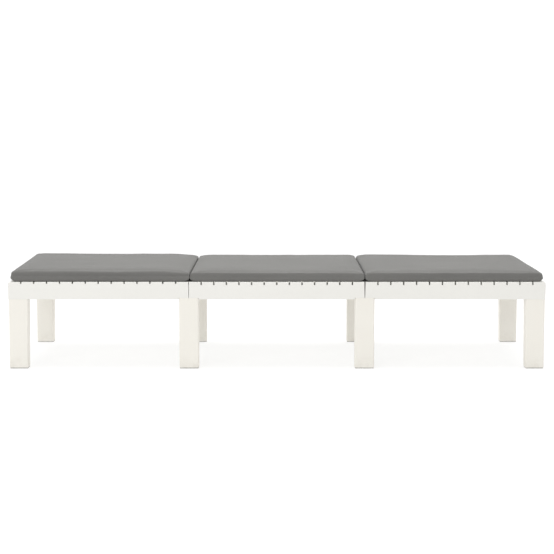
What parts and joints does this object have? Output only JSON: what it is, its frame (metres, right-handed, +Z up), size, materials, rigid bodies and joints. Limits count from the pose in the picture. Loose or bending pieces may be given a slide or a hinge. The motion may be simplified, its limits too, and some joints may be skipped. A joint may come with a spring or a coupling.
{
  "type": "reclining sun lounger",
  "caption": "Slatted plastic sun lounger on broad legs, with a backrest that folds up on a notched prop and a flat three-section pad.",
  "frame": {"origin": "on the ground under the middle of the lounger", "axes": "+X towards the foot end, +Z up, -Y towards the near side"},
  "size_m": [1.9, 0.65, 0.3484],
  "materials": {
    "white_plastic": "moulded, lightly textured, satin",
    "leg_plastic": "moulded, lightly textured, satin",
    "backrest_plastic": "moulded, satin",
    "prop_plastic": "moulded, satin",
    "glide_plastic": "soft grey, matt",
    "grey_fabric": "plain woven polyester, matt",
    "strap_webbing": "woven elastic webbing",
    "steel": "zinc plated, satin"
  },
  "bodies": {
    "frame": {"head_rail_near": "white_plastic", "seat_rail_near": "white_plastic", "foot_rail_near": "white_plastic", "head_rack_near": "white_plastic", "seat_ledge_near": "white_plastic", "foot_ledge_near": "white_plastic", "head_rail_far": "white_plastic", "seat_rail_far": "white_plastic", "foot_rail_far": "white_plastic", "head_rack_far": "white_plastic", "seat_ledge_far": "white_plastic", "foot_ledge_far": "white_plastic", "head_end_rail": "white_plastic", "head_cross_rail": "white_plastic", "seat_cross_rail_head": "white_plastic", "seat_cross_rail_foot": "white_plastic", "foot_cross_rail": "white_plastic", "foot_end_rail": "white_plastic", "seat_deck": "white_plastic", "foot_deck": "white_plastic", "seat_centre_beam": "white_plastic", "foot_centre_beam": "white_plastic", "leg_head_near": "leg_plastic", "leg_head_far": "leg_plastic", "leg_head_seat_near": "leg_plastic", "leg_head_seat_far": "leg_plastic", "leg_seat_foot_near": "leg_plastic", "leg_seat_foot_far": "leg_plastic", "leg_foot_near": "leg_plastic", "leg_foot_far": "leg_plastic", "leg_glides": "glide_plastic", "hinge_pins": "steel", "module_bolts": "steel", "module_nuts": "steel", "deck_screws": "steel", "ledge_screws": "steel", "cushion_seat": "grey_fabric", "cushion_foot": "grey_fabric"},
    "backrest": {"backrest_slats": "backrest_plastic", "backrest_end_edge": "backrest_plastic", "backrest_edge_near": "backrest_plastic", "backrest_edge_far": "backrest_plastic", "backrest_stringer_near": "backrest_plastic", "backrest_stringer_far": "backrest_plastic", "backrest_screws": "steel", "prop_pivot_pins": "steel", "cushion_head": "grey_fabric", "cushion_strap_near": "strap_webbing", "cushion_strap_far": "strap_webbing"},
    "prop": {"prop_arm_near": "prop_plastic", "prop_arm_far": "prop_plastic", "prop_bar": "prop_plastic"}
  },
  "joints": [
    {"name": "backrest_recline", "type": "hinge", "parent": "frame", "child": "backrest", "pos_m": [-0.323, 0, 0.295], "axis": [0, 1, 0], "range_deg": [0, 45]},
    {"name": "prop_swing", "type": "hinge", "parent": "backrest", "child": "prop", "pos_m": [-0.608, 0, 0.283], "axis": [0, 1, 0], "range_deg": [-100, 0]}
  ],
  "couplings": [
    {"joint": "prop_swing", "follows": "backrest_recline", "ratio": -2.2222}
  ]
}
